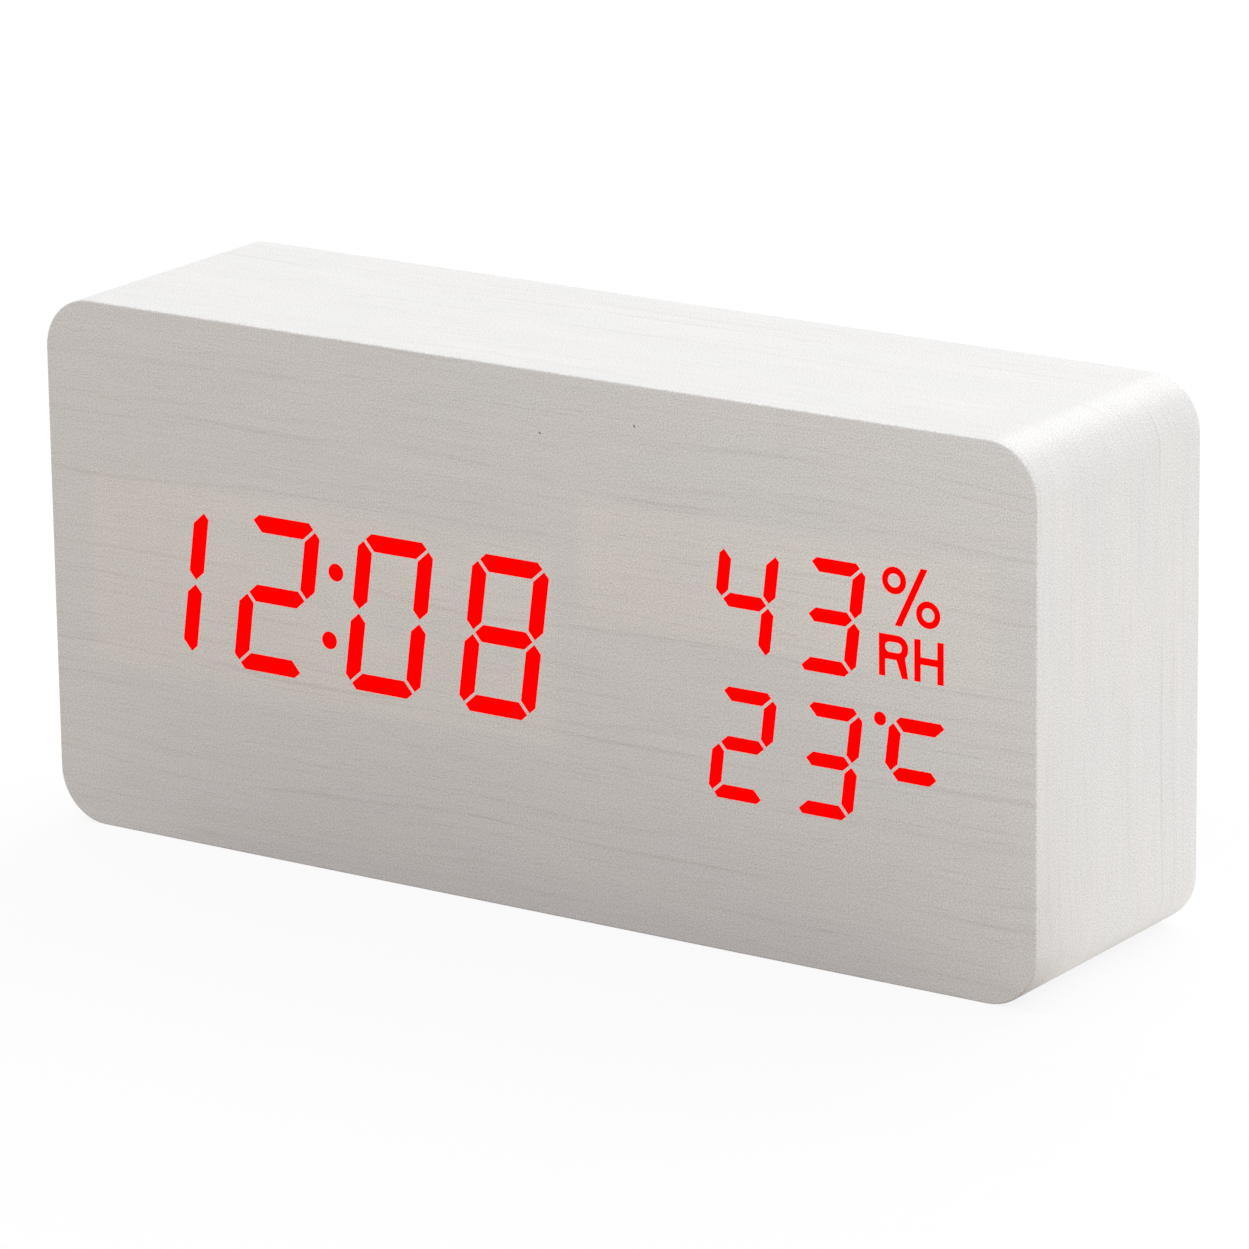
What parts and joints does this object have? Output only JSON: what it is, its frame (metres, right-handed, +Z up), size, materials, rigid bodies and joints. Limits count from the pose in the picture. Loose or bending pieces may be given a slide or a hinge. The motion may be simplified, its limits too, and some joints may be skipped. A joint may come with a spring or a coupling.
{
  "type": "digital led desk clock",
  "caption": "Rounded block desk clock in pale wood-look film; red LED digits shine through the front for time, humidity and temperature; rear panel with keys and battery door.",
  "frame": {"origin": "middle of the base, on the surface that the clock stands on", "axes": "+X to the right seen from the front, +Y from the display to the back, +Z up"},
  "size_m": [0.15, 0.039, 0.071],
  "materials": {
    "wood_film": "whitewashed wood-effect film, satin",
    "fibreboard": "raw medium-density fibreboard",
    "lit_red": "film patch lit red from behind",
    "diffuser_white": "translucent sheet",
    "mask_white": "moulded white reflector",
    "circuit_green": "solder-masked board",
    "lamp_white": "small surface-mount lamps",
    "chip_black": "moulded epoxy",
    "bright_metal": "nickel-plated sheet",
    "can_metal": "drawn can",
    "panel_black": "fine-textured moulded plastic",
    "button_grey": "smooth moulded plastic",
    "screw_black": "black-zinc screw",
    "screw_zinc": "zinc-plated screw",
    "cell_sleeve": "printed shrink sleeve",
    "sensor_white": "moulded sensor case",
    "socket_ivory": "moulded connector",
    "cable_white": "flat flexible cable",
    "lead_red": "insulated wire",
    "lead_black": "insulated wire"
  },
  "bodies": {
    "clock_case": {"back_board": "fibreboard", "back_film": "wood_film", "battery_cell_1": "cell_sleeve", "battery_cell_2": "cell_sleeve", "battery_cell_3": "cell_sleeve", "buzzer": "chip_black", "case_ring": "fibreboard", "climate_diffuser": "diffuser_white", "climate_lamps": "lamp_white", "climate_mask": "mask_white", "climate_sensor": "sensor_white", "clock_chip": "chip_black", "clock_crystal": "can_metal", "colon_glow": "lit_red", "control_board": "circuit_green", "control_board_screws": "screw_zinc", "control_link_socket": "socket_ivory", "display_board": "circuit_green", "display_board_screws": "screw_zinc", "display_link_socket": "socket_ivory", "down_switch": "chip_black", "driver_chip": "chip_black", "front_board": "fibreboard", "front_film": "wood_film", "hour_tens_glow": "lit_red", "hour_units_glow": "lit_red", "humidity_sign_glow": "lit_red", "humidity_tens_glow": "lit_red", "humidity_units_glow": "lit_red", "inlet_shell": "bright_metal", "inlet_tongue": "chip_black", "link_cable": "cable_white", "link_contact_1": "bright_metal", "link_contact_2": "bright_metal", "microphone": "can_metal", "minute_tens_glow": "lit_red", "minute_units_glow": "lit_red", "negative_contact": "bright_metal", "negative_lead": "lead_black", "positive_contact": "bright_metal", "positive_lead": "lead_red", "rear_panel": "panel_black", "rear_panel_screws": "screw_black", "set_switch": "chip_black", "smoothing_capacitor": "can_metal", "temperature_sign_glow": "lit_red", "temperature_tens_glow": "lit_red", "temperature_units_glow": "lit_red", "time_diffuser": "diffuser_white", "time_lamps": "lamp_white", "time_mask": "mask_white", "up_switch": "chip_black", "wrap_film": "wood_film"},
    "set_key": {"set_button": "button_grey", "set_plunger": "button_grey"},
    "up_key": {"up_button": "button_grey", "up_plunger": "button_grey"},
    "down_key": {"down_button": "button_grey", "down_plunger": "button_grey"},
    "battery_flap": {"battery_door": "panel_black"}
  },
  "joints": [
    {"name": "set_press", "type": "slide", "parent": "clock_case", "child": "set_key", "axis": [0, -1, 0], "range_m": [0, 0.0005], "stiffness_N_per_m": 300, "springref_m": -0.002},
    {"name": "up_press", "type": "slide", "parent": "clock_case", "child": "up_key", "axis": [0, -1, 0], "range_m": [0, 0.0005], "stiffness_N_per_m": 300, "springref_m": -0.002},
    {"name": "down_press", "type": "slide", "parent": "clock_case", "child": "down_key", "axis": [0, -1, 0], "range_m": [0, 0.0005], "stiffness_N_per_m": 300, "springref_m": -0.002},
    {"name": "battery_door_swing", "type": "hinge", "parent": "clock_case", "child": "battery_flap", "pos_m": [-0.022, 0.0183, 0.0193], "axis": [-1, 0, 0], "range_deg": [0, 90]}
  ]
}
